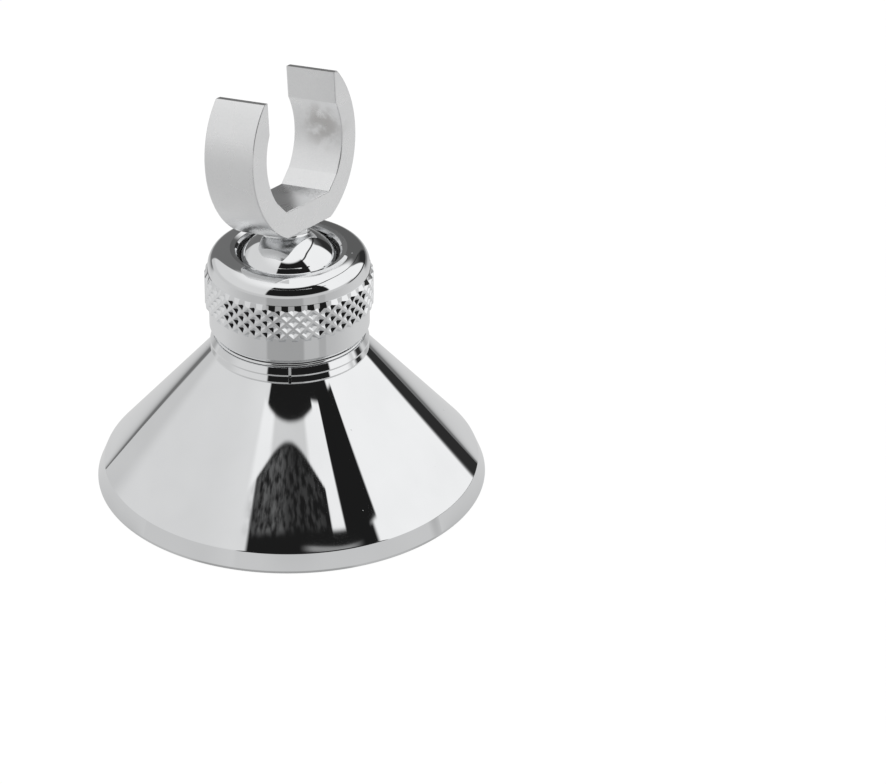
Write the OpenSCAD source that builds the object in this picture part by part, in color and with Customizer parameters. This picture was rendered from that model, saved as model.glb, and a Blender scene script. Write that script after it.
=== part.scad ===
// Wall bracket for a hand shower: a conical rose on the wall, a turned body inside it,
// and a ball joint under a knurled clamping nut that carries an open holder for the shower.
// The bracket stands on its rose, with the wall plane at z = 0 and the origin on its axis.

/* [Rose] */
// Diameter of the rim that meets the wall
rose_d = 70; // [60:1:90]
// Height of the rim band
rim_h = 3.5; // [2:0.5:5]
// How much narrower the band is at its upper edge, on the radius
rim_taper = 1.2; // [0.5:0.1:2]
// Height of the rose from the wall to its upper edge
rose_h = 26.3; // [24:0.1:26.3]
// Thickness of the spun sheet
rose_wall = 1.2; // [0.8:0.1:1.5]

/* [Body] */
// Diameter of the neck that the nut screws on to
neck_d = 26.8; // [26.6:0.1:27]
// Height of the upper end of the neck
neck_top = 38.6; // [38:0.1:38.8]
// Diameter of the column behind the rose
column_d = 20; // [16:1:24]
// Width across the two spanner flats on the column
column_flats = 17; // [14:1:20]
// Gap that the column leaves to the wall, so that the rim seats first
wall_gap = 0.5; // [0.2:0.1:1]
// Diameter of the hole that is tapped for the wall bolt
bolt_d = 6.8; // [5:0.1:10.2]
// Depth of the bolt hole
bolt_depth = 16; // [10:1:20]

/* [Retaining ring] */
// Height of the split ring above the rose
ring_h = 2.9; // [2:0.1:2.9]
// Outer diameter of the split ring
ring_d = 28.3; // [28:0.1:28.6]
// Gap between the ends of the split ring
ring_gap = 0.5; // [0.3:0.1:1.5]
// Direction in which the gap faces, in degrees round from +X
ring_gap_azimuth = -56; // [-180:1:180]

/* [Ball joint] */
// Diameter of the ball
ball_d = 20; // [19:0.5:20]
// Height of the ball's centre above the wall
ball_z = 39.4; // [39:0.1:39.6]
// How far the holder leans from the bracket's axis
lean = 10; // [-16:1:16]
// Direction of the lean, in degrees round from +X
lean_azimuth = 139; // [-180:1:180]
// Gap between the parts that turn on each other
play = 0.08; // [0.05:0.01:0.1]

/* [Nut] */
// Height of the nut's lower edge above the wall
nut_z = 30.9; // [30:0.1:31]
// Height of the nut's upper face above the wall
nut_top = 46; // [45.8:0.1:46.4]
// Diameter of the plain skirt below the knurl
skirt_d = 28.5; // [28.4:0.1:29]
// Diameter over the lands of the knurl
knurl_d = 29.9; // [29.6:0.1:30.4]
// Height of the knurled band
knurl_h = 7.1; // [6:0.1:7.2]
// Height of the band's lower edge above the nut's lower edge
knurl_z = 4; // [3:0.1:4.2]
// Number of pits round the knurl
knurl_count = 40; // [30:2:44]
// Depth of one pit
knurl_depth = 0.45; // [0.2:0.05:0.5]
// Radius of the rounding round the nut's top
nut_round = 3.4; // [2:0.1:3.4]
// Diameter of the opening over the ball
mouth_d = 18.2; // [17.8:0.1:18.6]

/* [Holder] */
// Outer diameter of the holder
holder_d = 31.8; // [30:0.1:34]
// Diameter of its bore
holder_bore = 23.2; // [21:0.1:24]
// Width of the slot between the arms
holder_slot = 20.4; // [16:0.1:20.6]
// Width of the holder along its bore
holder_w = 10.3; // [8:0.1:12]
// Distance from the bore's centre down to the flat floor inside
floor_drop = 9.55; // [8:0.05:10]
// Distance from the bore's centre to the narrow flats on both sides of the floor
flank_drop = 11.46; // [11:0.01:11.5]
// Turn of these flats round the bore, from the floor
flank_angle = 43; // [38:1:46]
// Distance from the bore's centre down to the flat foot outside
foot_drop = 14.4; // [13:0.1:15]
// Distance from the bore's centre up to the tips of the arms
tip_rise = 11.2; // [9:0.1:12]
// Width of the bevel on the edges of its two faces
holder_bevel = 0.4; // [0.1:0.05:0.6]
// Distance from the ball's centre to the foot of the holder
foot_z = 10.4; // [10.4:0.1:12]
// Diameter of the spigot that joins the ball to the holder
spigot_d = 6; // [4:0.5:8]
// Length of the spigot inside the holder
spigot_l = 3.6; // [2:0.1:4]

/* [Hidden] */
chrome = "gainsboro";
brass = "goldenrod";
slice = 0.01;

rose_r = rose_d / 2;
rose_top_r = ring_d / 2 - 0.1;
rim_r = rose_r - rim_taper;
cone_angle = atan2(rose_h - rim_h, rim_r - rose_top_r);
cone_shift = rose_wall / sin(cone_angle);
edge_round = 0.6;

neck_r = neck_d / 2;
cup_r = 10.9;
cup_floor = 25.4;
groove_r = neck_r - 0.8;
shoulder_z = 24;
shoulder_h = 3;
shoulder_r = cone_r(shoulder_z) - cone_shift - 0.1;

ball_r = ball_d / 2;
seat_z = cup_floor + 2;
seat_top = ball_z - 1.6;
washer_gap = 0.05;
boss_r = 4;

collar_r = skirt_d / 2 + 0.1;
crest_r = collar_r - nut_round;
lip_drop = 0.7;
lip_under = nut_top - 1.4;
pocket_r = 12.4;
clamp_z = ball_z + 0.8;
knurl_rows = 7;
knurl_edge = 0.35;
knurl_step = 0.15;

// Radius of the rose's outer cone at a height
function cone_r(z) = rim_r - (z - rim_h) * (rim_r - rose_top_r) / (rose_h - rim_h);

// Points on an arc in the plane of a section, from one angle to another
function arc(cx, cz, r, from, to, steps) =
    [for (i = [0:steps]) let (a = from + (to - from) * i / steps) [cx + r * cos(a), cz + r * sin(a)]];

// Moves a shape from the ball's own frame to its place, leaning as the holder does
module at_ball() {
    translate([0, 0, ball_z])
        rotate([0, 0, lean_azimuth])
            rotate([0, lean, 0])
                rotate([0, 0, -lean_azimuth])
                    children();
}

module lathe() {
    rotate_extrude($fn = 180) children();
}

// The spun cone, open towards the wall, with a hole for the neck
module rose() {
    color(chrome) lathe() polygon(concat(
        [[rose_r - rose_wall, 0]],
        arc(rose_r - edge_round, edge_round, edge_round, -90, 0, 4),
        [[rim_r, rim_h], [rose_top_r, rose_h], [neck_r + 0.1, rose_h]],
        [[neck_r + 0.1, rose_h - (neck_r + 0.1 - rose_top_r + cone_shift) * tan(cone_angle)]],
        [[rim_r - cone_shift, rim_h - 0.3]]
    ));
}

// The turned body: column, shoulder under the rose, grooved and threaded neck, and cup
module body() {
    color(brass) difference() {
        lathe() polygon([
            [0, wall_gap], [column_d / 2, wall_gap], [column_d / 2, shoulder_z - 2 * shoulder_h],
            [shoulder_r, shoulder_z - shoulder_h], [shoulder_r, shoulder_z],
            [neck_r, shoulder_z + (shoulder_r - neck_r) * tan(cone_angle)],
            [neck_r, rose_h], [groove_r, rose_h],
            [groove_r, rose_h + ring_h], [neck_r, rose_h + ring_h], [neck_r, neck_top - 0.5],
            [neck_r - 0.5, neck_top], [cup_r, neck_top], [cup_r, cup_floor], [0, cup_floor]
        ]);
        translate([0, 0, wall_gap - slice])
            cylinder(d = bolt_d, h = bolt_depth + slice, $fn = 48);
        for (side = [0, 180])
            rotate([0, 0, side])
                translate([column_flats / 2, -column_d, wall_gap - slice])
                    cube([column_d, 2 * column_d, 12]);
    }
}

// The split ring that snaps into the neck's groove and holds the rose down
module split_ring() {
    bead = ring_h / 2;
    color(chrome) difference() {
        translate([0, 0, rose_h]) lathe() polygon([
            [groove_r, 0], [ring_d / 2 - 0.3, 0], [ring_d / 2, 0.3], [ring_d / 2, bead - 0.3],
            [ring_d / 2 - 0.3, bead], [ring_d / 2, bead + 0.3], [ring_d / 2, ring_h - 0.3],
            [ring_d / 2 - 0.3, ring_h], [groove_r, ring_h]
        ]);
        rotate([0, 0, ring_gap_azimuth])
            translate([0, -ring_gap / 2, rose_h - 1])
                cube([ring_d, ring_gap, ring_h + 2]);
    }
}

// Height of one row of the knurl's grid. The first and last rows are the band's chamfers.
function knurl_row_z(row) = nut_z + knurl_z + (
    row == 0 ? 0
    : row == knurl_rows ? knurl_h
    : knurl_edge + (knurl_h - 2 * knurl_edge) * (row - 1) / (knurl_rows - 2));

// Radius at one point of the grid: pits and lands alternate along each row and column
function knurl_r(column, row) =
    row == 0 || row == knurl_rows ? collar_r + knurl_step
    : (column + row) % 2 == 0 ? knurl_d / 2 - knurl_depth : knurl_d / 2;

// The knurled band: a ring whose outer face is a diamond grid of pits
module knurl_band() {
    columns = 2 * knurl_count;
    inner_r = collar_r - 0.4;
    outer = [for (row = [0:knurl_rows], column = [0:columns - 1])
        let (a = 360 * column / columns, r = knurl_r(column, row))
            [r * cos(a), r * sin(a), knurl_row_z(row)]];
    inner = [for (row = [0, knurl_rows], column = [0:columns - 1])
        let (a = 360 * column / columns)
            [inner_r * cos(a), inner_r * sin(a), knurl_row_z(row)]];
    foot = columns * (knurl_rows + 1);
    outer_faces = [for (row = [0:knurl_rows - 1], column = [0:columns - 1])
        let (next = (column + 1) % columns, a = row * columns + column, b = row * columns + next,
             c = a + columns, d = b + columns)
            each (column + row) % 2 == 0 ? [[a, c, b], [b, c, d]] : [[a, c, d], [a, d, b]]];
    inner_faces = [for (column = [0:columns - 1])
        let (next = (column + 1) % columns, a = foot + column, b = foot + next)
            each [[a, b, a + columns], [b, b + columns, a + columns]]];
    end_faces = [for (column = [0:columns - 1])
        let (next = (column + 1) % columns, top = columns * knurl_rows)
            each [[column, next, foot + next], [column, foot + next, foot + column],
                  [top + column, foot + columns + column, foot + columns + next],
                  [top + column, foot + columns + next, top + next]]];
    polyhedron(concat(outer, inner), concat(outer_faces, inner_faces, end_faces), convexity = 6);
}

// The clamping nut: skirt, knurled band, rounded crown and the lip over the ball
module knurled_nut() {
    thread_r = neck_r + 0.05;
    color(chrome) union() {
        lathe() polygon(concat(
            [[thread_r + 0.3, nut_z], [skirt_d / 2 - 0.3, nut_z], [skirt_d / 2, nut_z + 0.3]],
            [[skirt_d / 2, nut_z + knurl_z + knurl_edge], [collar_r, nut_z + knurl_z + knurl_edge]],
            arc(crest_r, nut_top - nut_round, nut_round, 0, 90, 10),
            [[mouth_d / 2 + 1.2, nut_top], [mouth_d / 2 + 0.4, nut_top - 0.25]],
            [[mouth_d / 2, nut_top - lip_drop], [mouth_d / 2, lip_under], [pocket_r, lip_under]],
            [[pocket_r, neck_top + 0.6], [thread_r, neck_top + 0.3], [thread_r, nut_z + 0.3]]
        ));
        knurl_band();
    }
}

// The ring that the nut presses on the upper half of the ball
module friction_ring() {
    top = lip_under - washer_gap;
    reach = ball_r + play;
    low = asin((clamp_z - ball_z) / reach);
    high = asin((top - ball_z) / reach);
    color("dimgray") lathe() polygon(concat(
        [[pocket_r - 0.1, clamp_z], [pocket_r - 0.1, top]],
        arc(0, ball_z, reach, high, low, 8)
    ));
}

// The cup that carries the lower half of the ball
module ball_seat() {
    reach = ball_r + play;
    low = asin((seat_top - ball_z) / reach);
    color("white") lathe() polygon(concat(
        [[2, seat_z], [cup_r - play, seat_z], [cup_r - play, seat_top]],
        arc(0, ball_z, reach, low, -acos(2 / reach), 12)
    ));
}

// The rubber washer that presses the seat against the ball
module pressure_washer() {
    color("black") translate([0, 0, cup_floor])
        difference() {
            cylinder(r = cup_r - 0.3, h = seat_z - cup_floor - washer_gap, $fn = 96);
            translate([0, 0, -1]) cylinder(r = 4, h = 4, $fn = 48);
        }
}

// The ball, with the boss that the holder turns on and its spigot
module ball() {
    color(chrome) at_ball() {
        sphere(r = ball_r, $fn = 120);
        cylinder(r = boss_r, h = foot_z - 0.1, $fn = 64);
        cylinder(d = spigot_d, h = foot_z + spigot_l, $fn = 64);
    }
}

// A strip across the holder, whose two borders flare outwards into the bevels of its faces
module flared_strip(from, to) {
    face = holder_w / 2;
    spread = holder_bevel + 1;
    linear_extrude(height = 2 * holder_d, center = true) polygon([
        [-face - 1, from - spread], [holder_bevel - face, from], [face - holder_bevel, from],
        [face + 1, from - spread], [face + 1, to + spread], [face - holder_bevel, to],
        [holder_bevel - face, to], [-face - 1, to + spread]
    ]);
}

// The same strip stood on edge, so that its borders lie above and below each other
module standing_strip(from, to) {
    rotate([90, 0, 0]) flared_strip(from, to);
}

// The round blank that the holder is cut from, with bevelled edges
module holder_blank() {
    face = holder_w / 2;
    outer_r = holder_d / 2;
    rotate([0, 90, 0]) lathe() polygon([
        [0, -face], [outer_r - holder_bevel, -face], [outer_r, holder_bevel - face],
        [outer_r, face - holder_bevel], [outer_r - holder_bevel, face], [0, face]
    ]);
}

// The space in the holder: a bore with bevelled ends, a flat floor and two narrow flanks
module holder_space() {
    face = holder_w / 2;
    bore_r = holder_bore / 2;
    far = holder_d;
    intersection() {
        rotate([0, 90, 0]) lathe() polygon([
            [0, -face - 1], [bore_r + holder_bevel + 1, -face - 1], [bore_r, holder_bevel - face],
            [bore_r, face - holder_bevel], [bore_r + holder_bevel + 1, face + 1], [0, face + 1]
        ]);
        standing_strip(-floor_drop, far);
        rotate([flank_angle, 0, 0]) standing_strip(-flank_drop, far);
        rotate([-flank_angle, 0, 0]) standing_strip(-flank_drop, far);
    }
}

// The open holder that carries the hand shower, with a blind hole for the spigot
module holder() {
    far = 2 * holder_d;
    color(chrome) at_ball() difference() {
        translate([0, 0, foot_z + foot_drop]) difference() {
            holder_blank();
            holder_space();
            translate([0, 0, holder_d]) flared_strip(-holder_slot / 2, holder_slot / 2);
            standing_strip(tip_rise, far);
            standing_strip(-far, -foot_drop);
        }
        translate([0, 0, foot_z - slice])
            cylinder(d = spigot_d + 2 * play, h = spigot_l + 0.2, $fn = 64);
    }
}

rose();
body();
split_ring();
knurled_nut();
friction_ring();
ball_seat();
pressure_washer();
ball();
holder();
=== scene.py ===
"""Wall bracket for a hand shower: a chromed rose, a knurled clamping nut and an open holder on a ball joint."""
import math

import bpy
from mathutils import Matrix, Vector


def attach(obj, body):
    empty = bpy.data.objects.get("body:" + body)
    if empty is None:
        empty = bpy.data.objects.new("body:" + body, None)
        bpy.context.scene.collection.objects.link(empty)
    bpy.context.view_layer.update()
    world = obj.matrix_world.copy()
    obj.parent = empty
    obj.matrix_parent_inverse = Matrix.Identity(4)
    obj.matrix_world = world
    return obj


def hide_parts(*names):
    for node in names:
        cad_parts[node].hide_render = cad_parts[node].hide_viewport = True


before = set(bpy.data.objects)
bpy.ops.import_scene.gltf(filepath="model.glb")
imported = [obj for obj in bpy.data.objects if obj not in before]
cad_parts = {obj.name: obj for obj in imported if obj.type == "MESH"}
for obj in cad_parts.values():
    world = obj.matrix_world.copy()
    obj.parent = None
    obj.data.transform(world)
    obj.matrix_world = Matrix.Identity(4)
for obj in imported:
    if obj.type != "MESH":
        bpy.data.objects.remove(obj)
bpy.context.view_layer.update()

MM = 0.001
scene = bpy.context.scene
scene.view_settings.view_transform = "Standard"

# The bracket's measures in millimetres, the same as in its CAD source
ROSE_R = 35.0
RIM_H = 3.5
RIM_R = 33.8
ROSE_H = 26.3
ROSE_TOP_R = 14.05
ROSE_WALL = 1.2
NECK_R = 13.4
NECK_TOP = 38.6
COLUMN_R = 10.0
COLUMN_FLATS = 17.0
WALL_GAP = 0.5
BOLT_R = 3.4
BOLT_DEPTH = 16.0
RING_H = 2.9
RING_R = 14.15
RING_SLOPE = 0.6
RING_GAP = 0.5
RING_GAP_AZIMUTH = -56.0
GROOVE_R = 12.6
BALL_R = 10.0
BALL_Z = 39.4
LEAN = 10.0
LEAN_AZIMUTH = 139.0
BOSS_R = 4.0
SPIGOT_R = 3.0
NUT_Z = 30.9
NUT_TOP = 46.0
SKIRT_R = 14.25
COLLAR_R = 14.35
NUT_ROUND = 3.4
MOUTH_R = 9.1
POCKET_R = 12.4
KNURL_R = 14.95
KNURL_DEPTH = 0.55
KNURL_FOOT = 34.9
KNURL_H = 7.1
KNURL_COUNT = 40
KNURL_ROWS = 6
KNURL_FOOT_EDGE = 0.6
KNURL_TOP_EDGE = 0.85
KNURL_START = 0.9
KNURL_MIDDLE = 38.45
THREAD_PITCH = 0.75
THREAD_FOOT = 29.2
HOLDER_R = 15.9
HOLDER_BORE_R = 11.6
HOLDER_SLOT = 20.4
HOLDER_W = 10.3
FLOOR_DROP = 9.55
FLANK_DROP = 11.46
FLANK_ANGLE = 43.0
FOOT_DROP = 14.4
TIP_RISE = 11.2
HOLDER_BEVEL = 0.22
FOOT_Z = 10.4
# The middle of the stain inside the arm, from the ball's centre
STAIN = (1.0, 11.4, 25.6)

# The ball's own frame: its centre at the origin, and the holder straight above it before both lean
AT_BALL = (Matrix.Translation((0, 0, BALL_Z * MM))
           @ Matrix.Rotation(math.radians(LEAN_AZIMUTH), 4, "Z")
           @ Matrix.Rotation(math.radians(LEAN), 4, "Y")
           @ Matrix.Rotation(math.radians(-LEAN_AZIMUTH), 4, "Z"))


# Camera

def set_camera():
    """A long lens about 0.8 m away, looking down at 30 degrees on the side where the ring's gap is."""
    forward = Vector((-0.4602, 0.7320, -0.5024)).normalized()
    right = Vector((0.8452, 0.5344, 0.0045))
    right = (right - right.dot(forward) * forward).normalized()
    up = right.cross(forward)
    data = bpy.data.cameras.new("camera")
    data.lens = 179.2
    data.sensor_width = 36.0
    data.clip_start = 0.05
    data.clip_end = 20.0
    camera = bpy.data.objects.new("camera", data)
    turn = Matrix((right, up, -forward)).transposed()
    camera.matrix_world = Matrix.Translation(Vector((387.16, -564.50, 414.07)) * MM) @ turn.to_4x4()
    scene.collection.objects.link(camera)
    scene.camera = camera


# Materials

def linear(code):
    """A linear colour from an sRGB hex code."""
    parts = [int(code[i:i + 2], 16) / 255 for i in (1, 3, 5)]
    return tuple(p / 12.92 if p <= 0.04045 else ((p + 0.055) / 1.055) ** 2.4 for p in parts) + (1.0,)


def add(tree, kind, settings=None, **inputs):
    """Adds a node with its settings. An input is a value, or a socket to link from."""
    made = tree.nodes.new(kind)
    for name, value in (settings or {}).items():
        setattr(made, name, value)
    for name, value in inputs.items():
        socket = made.inputs[int(name[1:])] if name[0] == "i" and name[1:].isdigit() else made.inputs[name.replace("_", " ")]
        if isinstance(value, bpy.types.NodeSocket):
            tree.links.new(value, socket)
        else:
            socket.default_value = value
    return made


def new_material(name):
    material = bpy.data.materials.new(name)
    material.use_nodes = True
    material.node_tree.nodes.clear()
    return material, material.node_tree


def noise(tree, place, size_mm, detail=2.0, stretch=None):
    """Noise whose spots are about this many millimetres across."""
    if stretch:
        place = add(tree, "ShaderNodeMapping", Vector=place, Scale=stretch).outputs[0]
    return add(tree, "ShaderNodeTexNoise", Vector=place, Scale=1000 / size_mm, Detail=detail).outputs["Fac"]


def between_colours(tree, share, first, second):
    """A colour that goes from the first to the second with a share between 0 and 1."""
    return add(tree, "ShaderNodeMix", {"data_type": "RGBA"}, i0=share, i6=linear(first), i7=linear(second)).outputs[2]


def spread(tree, value, low, high, first, second):
    """Maps a value between low and high to a number between the first and the second."""
    return add(tree, "ShaderNodeMapRange", Value=value, From_Min=low, From_Max=high, To_Min=first, To_Max=second).outputs[0]


def chrome_plating(name, roughness, thread=False):
    """Chrome plating over polished brass: a clear mirror with faint smudges and dust specks."""
    material, tree = new_material(name)
    place = add(tree, "ShaderNodeTexCoord").outputs["Object"]
    smudges = noise(tree, place, 9.0)
    tone = between_colours(tree, smudges, "#f3f4f5", "#e9eaeb")

    # Dust: a speck of 0.1 mm in about one cell of 5 mm in four
    cells = add(tree, "ShaderNodeTexVoronoi", Vector=place, Scale=200.0)
    specks = window(tree, cells.outputs["Distance"], None, 0.03, 0.012)
    clean = spread(tree, smudges, 0.3, 0.7, roughness, roughness * 1.6)
    rough = add(tree, "ShaderNodeMix", {"data_type": "FLOAT"}, i0=specks, i2=clean, i3=0.5)
    shader = add(tree, "ShaderNodeBsdfPrincipled", Base_Color=tone, Metallic=1.0, Roughness=rough.outputs[0])
    if thread:
        # The fine thread round the neck: ridges one pitch apart, only on the neck's outside above its foot
        parts = add(tree, "ShaderNodeSeparateXYZ", Vector=place)
        turns = add(tree, "ShaderNodeMath", {"operation": "MULTIPLY"}, i0=parts.outputs["Z"],
                    i1=2 * math.pi / (THREAD_PITCH * MM))
        ridges = add(tree, "ShaderNodeMath", {"operation": "SINE"}, i0=turns.outputs[0])
        flat = add(tree, "ShaderNodeVectorMath", {"operation": "MULTIPLY"}, i0=place, i1=(1.0, 1.0, 0.0))
        radius = add(tree, "ShaderNodeVectorMath", {"operation": "LENGTH"}, i0=flat.outputs[0])
        outside = window(tree, radius.outputs["Value"], (NECK_R - 0.1) * MM, None, 0.00002)
        above = window(tree, parts.outputs["Z"], THREAD_FOOT * MM, None, 0.0001)
        ridges = add(tree, "ShaderNodeMath", {"operation": "MULTIPLY"}, i0=ridges.outputs[0], i1=outside)
        ridges = add(tree, "ShaderNodeMath", {"operation": "MULTIPLY"}, i0=ridges.outputs[0], i1=above)
        bump = add(tree, "ShaderNodeBump", Height=ridges.outputs[0], Distance=0.0001)
        tree.links.new(bump.outputs[0], shader.inputs["Normal"])
    add(tree, "ShaderNodeOutputMaterial", Surface=shader.outputs[0])
    return material


def satin_chrome():
    """Chrome plating over a finely blasted surface: soft reflections, a fine grain and one dull stain."""
    material, tree = new_material("satin_chrome")
    place = add(tree, "ShaderNodeTexCoord").outputs["Object"]
    grain = noise(tree, place, 0.35, 3.0)
    tone = between_colours(tree, grain, "#f0f1f2", "#fbfbfb")

    # The stain is inside the arm on the right, broken up into spots
    middle = AT_BALL @ (Vector(STAIN) * MM)
    away = add(tree, "ShaderNodeVectorMath", {"operation": "DISTANCE"}, i0=place, i1=tuple(middle))
    near = window(tree, away.outputs["Value"], None, 3.4 * MM, 2.2 * MM)
    spots = window(tree, noise(tree, place, 2.4, 6.0), 0.47, None, 0.12)
    stain = add(tree, "ShaderNodeMath", {"operation": "MULTIPLY"}, i0=near, i1=spots)
    stain = add(tree, "ShaderNodeMath", {"operation": "MULTIPLY"}, i0=stain.outputs[0], i1=0.75)
    tone = add(tree, "ShaderNodeMix", {"data_type": "RGBA"}, i0=stain.outputs[0], i6=tone, i7=linear("#c2c0be")).outputs[2]

    shader = add(tree, "ShaderNodeBsdfPrincipled", Base_Color=tone, Metallic=1.0,
                 Roughness=spread(tree, noise(tree, place, 5.0), 0.3, 0.7, 0.24, 0.34))
    bump = add(tree, "ShaderNodeBump", Height=grain, Distance=0.000004)
    tree.links.new(bump.outputs[0], shader.inputs["Normal"])
    add(tree, "ShaderNodeOutputMaterial", Surface=shader.outputs[0])
    return material


def turned_plastic(name, light, dark, roughness):
    """Acetal turned on a lathe: fine rings round the axis and a slightly waxy gloss."""
    material, tree = new_material(name)
    place = add(tree, "ShaderNodeTexCoord").outputs["Object"]
    # Tool marks 0.15 mm apart, drawn as a noise that is short along the axis
    rings = noise(tree, place, 1.5, 2.0, stretch=(0.1, 0.1, 10.0))
    shader = add(tree, "ShaderNodeBsdfPrincipled", Base_Color=between_colours(tree, rings, light, dark),
                 Roughness=spread(tree, rings, 0.3, 0.7, roughness - 0.06, roughness + 0.06))
    bump = add(tree, "ShaderNodeBump", Height=rings, Distance=0.00001)
    tree.links.new(bump.outputs[0], shader.inputs["Normal"])
    add(tree, "ShaderNodeOutputMaterial", Surface=shader.outputs[0])
    return material


def black_rubber():
    """Moulded nitrile rubber: dull, with a fine matt texture and a pale bloom."""
    material, tree = new_material("black_rubber")
    place = add(tree, "ShaderNodeTexCoord").outputs["Object"]
    bloom = noise(tree, place, 3.0, 4.0)
    skin = noise(tree, place, 0.2, 2.0)
    shader = add(tree, "ShaderNodeBsdfPrincipled", Base_Color=between_colours(tree, bloom, "#1f1f1f", "#2f2f2e"),
                 Roughness=spread(tree, bloom, 0.3, 0.7, 0.62, 0.8))
    bump = add(tree, "ShaderNodeBump", Height=skin, Distance=0.00002)
    tree.links.new(bump.outputs[0], shader.inputs["Normal"])
    add(tree, "ShaderNodeOutputMaterial", Surface=shader.outputs[0])
    return material


# Shapes

def rounded_section(corners, closed=True):
    """Points and outward directions round a section in millimetres.

    Each corner is (radius, height, rounding). The section runs anticlockwise, so that outward is on its right."""
    count = len(corners)
    points = []
    for i, (r, z, rounding) in enumerate(corners):
        here = Vector((r, z))
        if not closed and i in (0, count - 1):
            other = Vector(corners[1 if i == 0 else i - 1][:2])
            along = (other - here if i == 0 else here - other).normalized()
            points.append((here, Vector((along.y, -along.x))))
            continue
        before = (here - Vector(corners[i - 1][:2])).normalized()
        after = (Vector(corners[(i + 1) % count][:2]) - here).normalized()
        turn = math.atan2(before.x * after.y - before.y * after.x, before.dot(after))
        size = max(rounding, 0.02)
        reach = size * math.tan(abs(turn) / 2)
        steps = max(2, math.ceil(abs(turn) / math.radians(7.5)))
        start = here - before * reach
        normal = Vector((before.y, -before.x))
        side = -1 if turn > 0 else 1
        centre = start + normal * size * side
        for step in range(steps + 1):
            angle = turn * step / steps
            out = Vector((normal.x * math.cos(angle) - normal.y * math.sin(angle),
                          normal.x * math.sin(angle) + normal.y * math.cos(angle)))
            points.append((centre - out * size * side, out))
    return points


def make_mesh(name, vertices, faces, normals=None):
    """An object from vertices in metres, with its own outward directions where they are given."""
    mesh = bpy.data.meshes.new(name)
    mesh.from_pydata([tuple(v) for v in vertices], [], faces)
    mesh.update()
    mesh.polygons.foreach_set("use_smooth", [True] * len(mesh.polygons))
    if normals:
        mesh.normals_split_custom_set_from_vertices([tuple(n) for n in normals])
    made = bpy.data.objects.new(name, mesh)
    scene.collection.objects.link(made)
    return made


def lathe(name, section, closed=True, segments=360, start=0.0, sweep=360.0, place=None):
    """Turns a section about the axis, all the way round or over a sweep in degrees."""
    full = abs(sweep) >= 360
    turns = segments if full else segments + 1
    vertices, normals, faces, rings = [], [], [], []
    for point, out in section:
        ring = []
        on_axis = point.x < 1e-6
        for j in range(1 if on_axis else turns):
            a = math.radians(start + sweep * j / segments)
            vertices.append(Vector((point.x * math.cos(a), point.x * math.sin(a), point.y)) * MM)
            normals.append(Vector((0, 0, math.copysign(1, out.y))) if on_axis
                           else Vector((out.x * math.cos(a), out.x * math.sin(a), out.y)))
            ring.append(len(vertices) - 1)
        rings.append(ring)
    pairs = len(rings) if closed else len(rings) - 1
    for i in range(pairs):
        low, high = rings[i], rings[(i + 1) % len(rings)]
        for j in range(segments):
            k = (j + 1) % turns
            face = [low[j if len(low) > 1 else 0], low[k if len(low) > 1 else 0],
                    high[k if len(high) > 1 else 0], high[j if len(high) > 1 else 0]]
            face = [v for n, v in enumerate(face) if v not in face[:n]]
            faces.append(face)
    if not full and closed:
        faces.append([ring[0] for ring in rings])
        faces.append([ring[-1] for ring in reversed(rings)])
    if place:
        vertices = [place @ v for v in vertices]
        turn = place.to_3x3()
        normals = [turn @ n for n in normals]
    return make_mesh(name, vertices, faces, normals)


def finish_piece(piece, material, body, node):
    piece.data.materials.append(material)
    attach(piece, body)
    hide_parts(node)


# Pieces

def make_rose(chrome):
    """The spun cone with its rolled rim, open towards the wall."""
    lean = math.atan2(ROSE_H - RIM_H, RIM_R - ROSE_TOP_R)
    shift = ROSE_WALL / math.sin(lean)
    hole_r = NECK_R + 0.1
    inner_top = ROSE_H - (hole_r - ROSE_TOP_R + shift) * math.tan(lean)
    section = rounded_section([
        (ROSE_R - ROSE_WALL, 0, 0.1), (ROSE_R + 0.248, 0, 0.5), (RIM_R, RIM_H, 0.6), (ROSE_TOP_R, ROSE_H, 0.1),
        (hole_r, ROSE_H, 0.05), (hole_r, inner_top, 0.1), (RIM_R - shift, RIM_H - 0.3, 0.5),
    ])
    finish_piece(lathe("rose_shell", section), chrome, "base", "rose")


def make_split_ring(chrome):
    """The retaining ring: two sloping beads, split at the front."""
    z = ROSE_H
    bead = RING_H / 2
    section = rounded_section([
        (GROOVE_R, z, 0.05), (RING_R, z, 0.12), (RING_R, z + 0.3, 0.12), (RING_R - RING_SLOPE, z + bead, 0.05),
        (RING_R, z + bead, 0.12), (RING_R, z + bead + 0.3, 0.12), (RING_R - RING_SLOPE, z + RING_H, 0.05),
        (GROOVE_R, z + RING_H, 0.05),
    ])
    half = math.degrees(RING_GAP / 2 / RING_R)
    ring = lathe("split_ring_beads", section, start=RING_GAP_AZIMUTH + half, sweep=360 - 2 * half - 0.001)
    finish_piece(ring, chrome, "base", "split_ring")


def make_nut(chrome):
    """The clamping nut's turned shell: skirt, collar, rounded crown and the lip over the ball."""
    thread_r = NECK_R + 0.05
    crest_r = COLLAR_R - NUT_ROUND
    shell = lathe("nut_shell", rounded_section([
        (thread_r + 0.3, NUT_Z, 0.1), (SKIRT_R, NUT_Z, 0.3), (SKIRT_R, KNURL_FOOT + 0.3, 0.05),
        (COLLAR_R, KNURL_FOOT + 0.3, 0.05), (COLLAR_R, NUT_TOP, NUT_ROUND),
        (MOUTH_R + 1.2, NUT_TOP, 0.3), (MOUTH_R + 0.4, NUT_TOP - 0.25, 0.4), (MOUTH_R, NUT_TOP - 0.7, 0.2),
        (MOUTH_R, NUT_TOP - 1.4, 0.1), (POCKET_R, NUT_TOP - 1.4, 0.1), (POCKET_R, NECK_TOP + 0.6, 0.1),
        (thread_r, NECK_TOP + 0.3, 0.05), (thread_r, NUT_Z + 0.3, 0.05),
    ]))
    finish_piece(shell, chrome, "nut", "knurled_nut")


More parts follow.
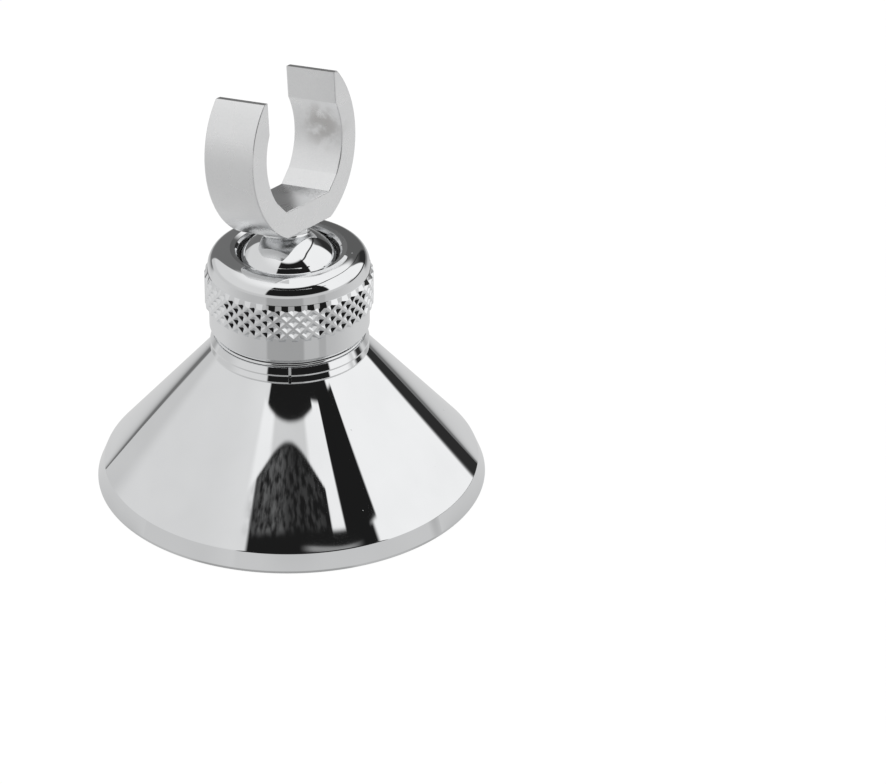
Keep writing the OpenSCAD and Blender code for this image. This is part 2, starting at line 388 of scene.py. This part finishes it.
def make_knurl(chrome):
    """The band of diamond pits round the nut: steep sides, a rounded bed, a soft border and flat lands between."""
    columns = 2 * KNURL_COUNT
    end_r, inner_r = COLLAR_R + 0.05, COLLAR_R - 0.3
    row_h = (KNURL_H - KNURL_FOOT_EDGE - KNURL_TOP_EDGE) / (KNURL_ROWS - 1)
    # Radius along a line from a pit's middle to its corner, by share of the way
    profile = [(0.0, KNURL_R - KNURL_DEPTH), (0.2, KNURL_R - KNURL_DEPTH + 0.06), (0.74, KNURL_R - 0.05),
               (0.82, KNURL_R), (1.0, KNURL_R)]
    vertices, faces, outs, index = [], [], [], {}

    def angle(u):
        return 2 * math.pi * u / columns + math.radians(KNURL_START)

    def point(u, z, r):
        """The number of the vertex at a column, a height and a radius, shared between faces."""
        key = (round(u * 1000) % (columns * 1000), round(z * 10000), round(r * 10000))
        if key not in index:
            index[key] = len(vertices)
            vertices.append(Vector((r * math.cos(angle(u)), r * math.sin(angle(u)), z)) * MM)
        return index[key]

    def face(corners, straight):
        """Adds a face. Each of its corners looks straight out, or as the flat face does."""
        numbers = [point(*corner) for corner in corners]
        first, second, third = (vertices[n] for n in numbers[:3])
        flat = (second - first).cross(third - first).normalized()
        faces.append(numbers)
        for corner, is_straight in zip(corners, straight):
            a = angle(corner[0])
            outs.append(Vector((math.cos(a), math.sin(a), 0)) if is_straight else flat)

    def quarter(u, z, toward, then):
        """A quarter of a pit between two of its corners, given anticlockwise as seen from outside."""
        def at(corner, step):
            share, r = profile[step]
            return (u + corner[0] * share, z + corner[1] * share, r)

        face([at(toward, 0), at(toward, 1), at(then, 1)], (1, 0, 0))
        face([at(toward, 1), at(toward, 2), at(then, 2), at(then, 1)], (0, 0, 0, 0))
        face([at(toward, 2), at(toward, 3), at(then, 3), at(then, 2)], (0, 1, 1, 0))
        face([at(toward, 3), at(toward, 4), at(then, 4), at(then, 3)], (1, 1, 1, 1))

    def end_strip(u, z, end, is_foot):
        """The chamfer from the middle of an outer pit to the band's end, and the flat step inside it."""
        across = [(-share, r) for share, r in reversed(profile)] + profile[1:]
        for (u0, r0), (u1, r1) in zip(across, across[1:]):
            chamfer = [(u + u0, z, r0), (u + u0, end, end_r), (u + u1, end, end_r), (u + u1, z, r1)]
            step = [(u + u0, end, end_r), (u + u0, end, inner_r), (u + u1, end, inner_r), (u + u1, end, end_r)]
            for quad in (chamfer, step):
                face(quad if is_foot else quad[::-1], (0, 0, 0, 0))

    last = KNURL_ROWS - 1
    foot, top = KNURL_FOOT, KNURL_FOOT + KNURL_H
    for row in range(KNURL_ROWS):
        z = foot + KNURL_FOOT_EDGE + row_h * row
        for column in range((row + 1) % 2, columns, 2):
            if row < last:
                quarter(column, z, (1, 0), (0, row_h))
                quarter(column, z, (0, row_h), (-1, 0))
            if row > 0:
                quarter(column, z, (-1, 0), (0, -row_h))
                quarter(column, z, (0, -row_h), (1, 0))
            if row in (0, last):
                end_strip(column, z, foot if row == 0 else top, row == 0)

    # The wall inside, hidden in the collar, closes the band
    shares = sorted({round(-share, 3) for share, _ in profile} | {share for share, _ in profile})
    for is_foot, start in ((True, 1), (False, 0)):
        ring = [column + share for column in range(start, columns, 2) for share in shares[:-1]]
        for u0, u1 in zip(ring, ring[1:] + ring[:1]):
            if is_foot:
                face([(u1, foot, inner_r), (u0, foot, inner_r), (u0, KNURL_MIDDLE, inner_r),
                      (u1, KNURL_MIDDLE, inner_r)], (0, 0, 0, 0))
            else:
                face([(u0, top, inner_r), (u1, top, inner_r), (u1, KNURL_MIDDLE, inner_r),
                      (u0, KNURL_MIDDLE, inner_r)], (0, 0, 0, 0))
    band = make_mesh("nut_knurl", vertices, faces)
    band.data.normals_split_custom_set([tuple(n) for n in outs])
    finish_piece(band, chrome, "nut", "knurled_nut")


def make_ball(chrome):
    """The ball with the boss and the spigot under the holder."""
    rise = math.sqrt(BALL_R ** 2 - BOSS_R ** 2)
    section = [(Vector((BALL_R * math.sin(a), -BALL_R * math.cos(a))), Vector((math.sin(a), -math.cos(a))))
               for a in (math.radians(2 * i) for i in range(0, 78))]
    boss = rounded_section([(BOSS_R + 1.2, rise - 1.3, 0.1), (BOSS_R, rise, 0.8), (BOSS_R, FOOT_Z - 0.1, 0.15),
                            (SPIGOT_R, FOOT_Z - 0.1, 0.05), (SPIGOT_R, FOOT_Z + 3.6, 0.2), (0, FOOT_Z + 3.6, 0)], closed=False)
    finish_piece(lathe("ball_and_spigot", section + boss[1:], closed=False, segments=288, place=AT_BALL),
                 chrome, "ball_body", "ball")


def holder_outline():
    """The holder's section across its bore in millimetres, anticlockwise round the metal, from the bore's centre."""
    def arc(radius, start, end, step=2.0):
        count = max(1, math.ceil(abs(end - start) / step))
        return [(radius * math.cos(math.radians(start + (end - start) * i / count)),
                 radius * math.sin(math.radians(start + (end - start) * i / count))) for i in range(count + 1)]

    tip = math.degrees(math.asin(TIP_RISE / HOLDER_R))
    foot = math.degrees(math.asin(-FOOT_DROP / HOLDER_R))
    slot = math.degrees(math.acos(HOLDER_SLOT / 2 / HOLDER_BORE_R))
    swing = math.degrees(math.acos(FLANK_DROP / HOLDER_BORE_R))
    flank_top = -90 + FLANK_ANGLE + swing
    flank_in = math.tan(math.radians(FLANK_ANGLE))
    floor_y = (FLANK_DROP / math.cos(math.radians(FLANK_ANGLE)) - FLOOR_DROP) / flank_in
    right = arc(HOLDER_R, foot, tip) + [(HOLDER_SLOT / 2, TIP_RISE)] + arc(HOLDER_BORE_R, slot, flank_top) + [(floor_y, -FLOOR_DROP)]
    return right + [(-y, z) for y, z in reversed(right)]


def make_holder(satin):
    outline = holder_outline()
    count = len(outline)
    bevel = HOLDER_BEVEL
    face = HOLDER_W / 2

    def inset(distance):
        """The outline moved inwards by a distance, with mitred corners."""
        moved = []
        for i in range(count):
            here = Vector(outline[i])
            before = (here - Vector(outline[i - 1])).normalized()
            after = (Vector(outline[(i + 1) % count]) - here).normalized()
            inward = Vector((-before.y, before.x)) + Vector((-after.y, after.x))
            inward = inward / (1 + before.dot(after))
            moved.append(here + inward * distance)
        return moved

    # Each edge is rounded in three steps, from the flat side at x = -face to the one at x = face
    turns = [math.radians(30 * step) for step in range(4)]
    rounding = [(bevel * (1 - math.sin(a)), bevel * (1 - math.cos(a))) for a in turns]
    rings = [(-face + inward, distance) for distance, inward in rounding]
    rings += [(-x, distance) for x, distance in reversed(rings)]
    raise_by = FOOT_Z + FOOT_DROP
    vertices, faces = [], []
    for x, distance in rings:
        vertices += [AT_BALL @ (Vector((x, p.x, p.y + raise_by)) * MM) for p in inset(distance)]
    for k in range(len(rings) - 1):
        for i in range(count):
            j = (i + 1) % count
            faces.append([k * count + i, k * count + j, (k + 1) * count + j, (k + 1) * count + i])
    faces.append(list(reversed(range(count))))
    faces.append([(len(rings) - 1) * count + i for i in range(count)])
    holder = make_mesh("open_holder", vertices, faces)
    finish_piece(holder, satin, "holder_body", "holder")
    holder.data.polygons.foreach_set("use_smooth", [False] * len(holder.data.polygons))


def dress(node, material):
    """Gives a CAD node its finish."""
    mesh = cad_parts[node].data
    mesh.materials.clear()
    mesh.materials.append(material)


# Stage

# Direction of the camera from the bracket's axis, in degrees round from +X. The studio is laid out from it.
FRONT = -55.6


def grey(code):
    """The level that a metal reflects as this grey: chrome gives back about 0.87 of the light."""
    return linear(code)[0] / 0.87


def studio_direction(tree, vector):
    """Degrees to the left or right of the camera's side, and degrees above the horizon, of a direction."""
    turned = add(tree, "ShaderNodeVectorRotate", {"rotation_type": "Z_AXIS"}, Vector=vector, Angle=math.radians(-FRONT))
    parts = add(tree, "ShaderNodeSeparateXYZ", Vector=turned.outputs[0])
    across = add(tree, "ShaderNodeMath", {"operation": "ARCTAN2"}, i0=parts.outputs["Y"], i1=parts.outputs["X"])
    rise = add(tree, "ShaderNodeMath", {"operation": "ARCSINE"}, i0=parts.outputs["Z"])
    return [add(tree, "ShaderNodeMath", {"operation": "DEGREES"}, i0=s.outputs[0]).outputs[0] for s in (across, rise)]


def window(tree, value, low, high, soft):
    """1 between low and high, 0 outside, with soft borders. Either border may be left out."""
    sides = []
    for edge, before, after in ((low, 0.0, 1.0), (high, 1.0, 0.0)):
        if edge is not None:
            side = add(tree, "ShaderNodeMapRange", {"interpolation_type": "SMOOTHSTEP"}, Value=value, From_Min=edge - soft,
                       From_Max=edge + soft, To_Min=before, To_Max=after)
            sides.append(side.outputs[0])
    if len(sides) == 1:
        return sides[0]
    return add(tree, "ShaderNodeMath", {"operation": "MULTIPLY"}, i0=sides[0], i1=sides[1]).outputs[0]


def lay(tree, under, level, *windows):
    """Lays a panel of one level over what is under it, inside its windows."""
    share = windows[0]
    for other in windows[1:]:
        share = add(tree, "ShaderNodeMath", {"operation": "MULTIPLY"}, i0=share, i1=other).outputs[0]
    mixed = add(tree, "ShaderNodeMix", {"data_type": "FLOAT"}, i0=share, i2=under, i3=level)
    return mixed.outputs[0]


def curve(tree, value, *factors):
    """A polynomial of a value, from its factors for the powers 0, 1, 2."""
    total = factors[-1]
    for factor in reversed(factors[:-1]):
        total = add(tree, "ShaderNodeMath", {"operation": "MULTIPLY_ADD"}, i0=value, i1=total, i2=factor).outputs[0]
    return total


def minus(tree, first, second):
    return add(tree, "ShaderNodeMath", {"operation": "SUBTRACT"}, i0=first, i1=second).outputs[0]


def make_floor():
    """A pale table. It is white to the camera, with the faint shadow of what stands on it. To the metal it glows with
    painted light and painted shade.
    """
    size = 3.0
    corners = ((-size, -size), (size, -size), (size, size), (-size, size))
    floor = make_mesh("floor", [Vector((x, y, -0.00002)) for x, y in corners], [(0, 1, 2, 3)])
    material, tree = new_material("pale_table")
    place = add(tree, "ShaderNodeNewGeometry").outputs["Position"]
    across, _ = studio_direction(tree, place)
    distance = add(tree, "ShaderNodeVectorMath", {"operation": "LENGTH"}, i0=place).outputs["Value"]
    behind = add(tree, "ShaderNodeMath", {"operation": "ABSOLUTE"}, i0=across).outputs[0]

    # As the metal sees it, the table glows at painted levels: painted shade in darker bands on the camera's side, and a
    # painted darker far end under the dim room
    level = lay(tree, grey("#c9c9c9"), grey("#b4b4b4"), window(tree, across, -75, 75, 30))
    level = lay(tree, level, grey("#9d9d9d"), window(tree, across, -30, 18, 2))
    level = lay(tree, level, grey("#a7a7a7"), window(tree, across, 38, 48, 1.5))
    far = window(tree, distance, 0.24, None, 0.2)
    level = lay(tree, level, grey("#6e6e6e"), far, window(tree, behind, 128, None, 6))

    path = add(tree, "ShaderNodeLightPath")
    diffuse = add(tree, "ShaderNodeBsdfDiffuse", Color=linear("#f4f4f4"))
    white = add(tree, "ShaderNodeEmission", Color=linear("#ffffff"), Strength=1.07)
    seen = add(tree, "ShaderNodeMixShader", i0=0.9, i1=diffuse.outputs[0], i2=white.outputs[0])
    # Painted table light and shade: an emission that only the metal's reflections see
    painted_table_glow = add(tree, "ShaderNodeEmission", Color=linear("#ffffff"), Strength=level)
    to_camera = add(tree, "ShaderNodeMixShader", i0=path.outputs["Is Camera Ray"], i1=diffuse.outputs[0],
                    i2=seen.outputs[0])
    mirrored = add(tree, "ShaderNodeMath", {"operation": "MAXIMUM"}, i0=path.outputs["Is Glossy Ray"],
                   i1=path.outputs["Is Transmission Ray"])
    to_metal = add(tree, "ShaderNodeMixShader", i0=mirrored.outputs[0], i1=to_camera.outputs[0],
                   i2=painted_table_glow.outputs[0])
    add(tree, "ShaderNodeOutputMaterial", Surface=to_metal.outputs[0])
    floor.data.materials.append(material)


def dark_gap(tree, level, across, rise):
    """The dark room between the front panels, with the camera's stand and a lit strip in it.

    The cone spreads two degrees of it over its whole front, so they are laid out by height on the cone."""
    black = grey("#1b1b1b")
    level = lay(tree, level, black, window(tree, across, -33, 57, 1.5), window(tree, rise, 14, 62, 2))
    # 0 where the cone's foot mirrors it and 1 at the cone's top
    height = minus(tree, rise, curve(tree, across, 49.55, 0.0, -0.00226))
    height = add(tree, "ShaderNodeMath", {"operation": "DIVIDE"}, i0=height, i1=2.3).outputs[0]

    # The lit strip between the dark head above and the dark stand below
    head = minus(tree, height, curve(tree, across, 0.745, 0.0, 0.00012))
    stand = minus(tree, height, curve(tree, across, 0.6316, -0.00172, -0.000215))
    strip = window(tree, across, -34, 32, 1.5), window(tree, head, None, 0.0, 0.02), window(tree, stand, 0.0, None, 0.02)
    level = lay(tree, level, grey("#cccccc"), *strip)
    level = lay(tree, level, grey("#ebebeb"), window(tree, across, -38, -22, 3), *strip[1:])
    level = lay(tree, level, grey("#ebebeb"), window(tree, across, 18, 32, 3), *strip[1:])
    level = lay(tree, level, grey("#ebebeb"), window(tree, across, 30, 39.5, 0.8), window(tree, height, 0.14, 0.9, 0.02))

    # The stand is mottled, more so on its left
    spots = add(tree, "ShaderNodeCombineXYZ", X=across, Y=height)
    spots = add(tree, "ShaderNodeMapping", Vector=spots.outputs[0], Scale=(0.28, 13.0, 1.0))
    spots = add(tree, "ShaderNodeTexNoise", Vector=spots.outputs[0], Scale=1.0, Detail=4.0).outputs["Fac"]
    lighter = window(tree, across, -32, -4, 9)
    level = lay(tree, level, grey("#5c5c5c"), window(tree, spots, 0.5, None, 0.16), lighter,
                window(tree, stand, None, -0.03, 0.03), window(tree, height, 0.12, None, 0.03))
    level = lay(tree, level, grey("#3a3a3a"), window(tree, spots, 0.52, None, 0.1), window(tree, across, -5, 27, 5),
                window(tree, stand, None, -0.05, 0.05), window(tree, height, 0.14, None, 0.03))

    # The dark post on the right, and a dull line at the foot
    level = lay(tree, level, black, window(tree, across, 40, 62.5, 0.8), window(tree, height, 0.1, 0.95, 0.02))
    level = lay(tree, level, black, window(tree, across, 50, 59, 1.5), window(tree, height, -0.2, 0.1, 0.02))
    return lay(tree, level, grey("#8c8c8c"), window(tree, across, 10, 45, 6), window(tree, height, 0.015, 0.045, 0.008))


def make_world():
    """A small studio: soft panels left, right and overhead, a dark gap at the camera and a dark wall behind."""
    world = bpy.data.worlds.new("studio")
    scene.world = world
    world.use_nodes = True
    tree = world.node_tree
    tree.nodes.clear()
    where = add(tree, "ShaderNodeTexCoord")
    across, rise = studio_direction(tree, where.outputs["Generated"])

    level = grey("#c3c3c3")
    left, right = window(tree, across, -146, -33, 2), window(tree, across, 55, None, 2)
    level = lay(tree, level, grey("#d2d2d2"), left, window(tree, rise, 12, None, 4))
    level = lay(tree, level, grey("#e6e6e6"), window(tree, across, -146, -33, 12), window(tree, rise, 50, None, 12))
    level = lay(tree, level, grey("#eeeeee"), right, window(tree, rise, 10, None, 2))
    level = lay(tree, level, grey("#eeeeee"), window(tree, across, 98, None, 4), window(tree, rise, 4, None, 3))
    level = lay(tree, level, grey("#eeeeee"), window(tree, across, -80, None, 40), window(tree, rise, 63, None, 3))
    # The dim gap between the right panel's foot and the table's far edge
    level = lay(tree, level, grey("#2b2b2b"), window(tree, across, 88, None, 6), window(tree, rise, 1, 6, 1.5))
    # The room behind
    level = lay(tree, level, grey("#5a5a5a"), window(tree, across, 132, None, 2), window(tree, rise, None, 38, 5))
    level = lay(tree, level, grey("#2b2b2b"), window(tree, across, 132, 152, 2), window(tree, rise, None, 26, 8))
    level = lay(tree, level, grey("#6a6a6a"), window(tree, across, None, -143, 1.5), window(tree, rise, None, 50, 6))
    # The dark joint where the right panel meets the one overhead, which falls away to the back
    back = add(tree, "ShaderNodeMath", {"operation": "MAXIMUM"}, i0=minus(tree, across, 84.0), i1=0.0).outputs[0]
    joint = minus(tree, rise, curve(tree, back, 59.0, 0.0, -0.0073))
    level = lay(tree, level, grey("#202020"), window(tree, across, 52, 152, 2), window(tree, joint, -1.4, 1.4, 0.7))
    level = dark_gap(tree, level, across, rise)

    light = add(tree, "ShaderNodeBackground", Color=linear("#ffffff"), Strength=level)
    plain = add(tree, "ShaderNodeBackground", Color=linear("#ffffff"), Strength=1.0)
    path = add(tree, "ShaderNodeLightPath")
    shown = add(tree, "ShaderNodeMixShader", i0=path.outputs["Is Camera Ray"], i1=light.outputs[0], i2=plain.outputs[0])
    add(tree, "ShaderNodeOutputWorld", Surface=shown.outputs[0])


set_camera()
make_floor()
make_world()
chrome = chrome_plating("polished_chrome", 0.025)
satin = satin_chrome()
# The rose is spun and buffed the most, so it is the clearest mirror
make_rose(chrome_plating("buffed_chrome", 0.008))
make_split_ring(chrome)
make_nut(chrome)
make_knurl(chrome)
make_ball(chrome)
make_holder(satin)
dress("body", chrome_plating("plated_brass", 0.04, thread=True))
dress("friction_ring", turned_plastic("dark_acetal", "#303030", "#232323", 0.35))
dress("ball_seat", turned_plastic("white_acetal", "#e9e9e5", "#dededa", 0.4))
dress("pressure_washer", black_rubber())
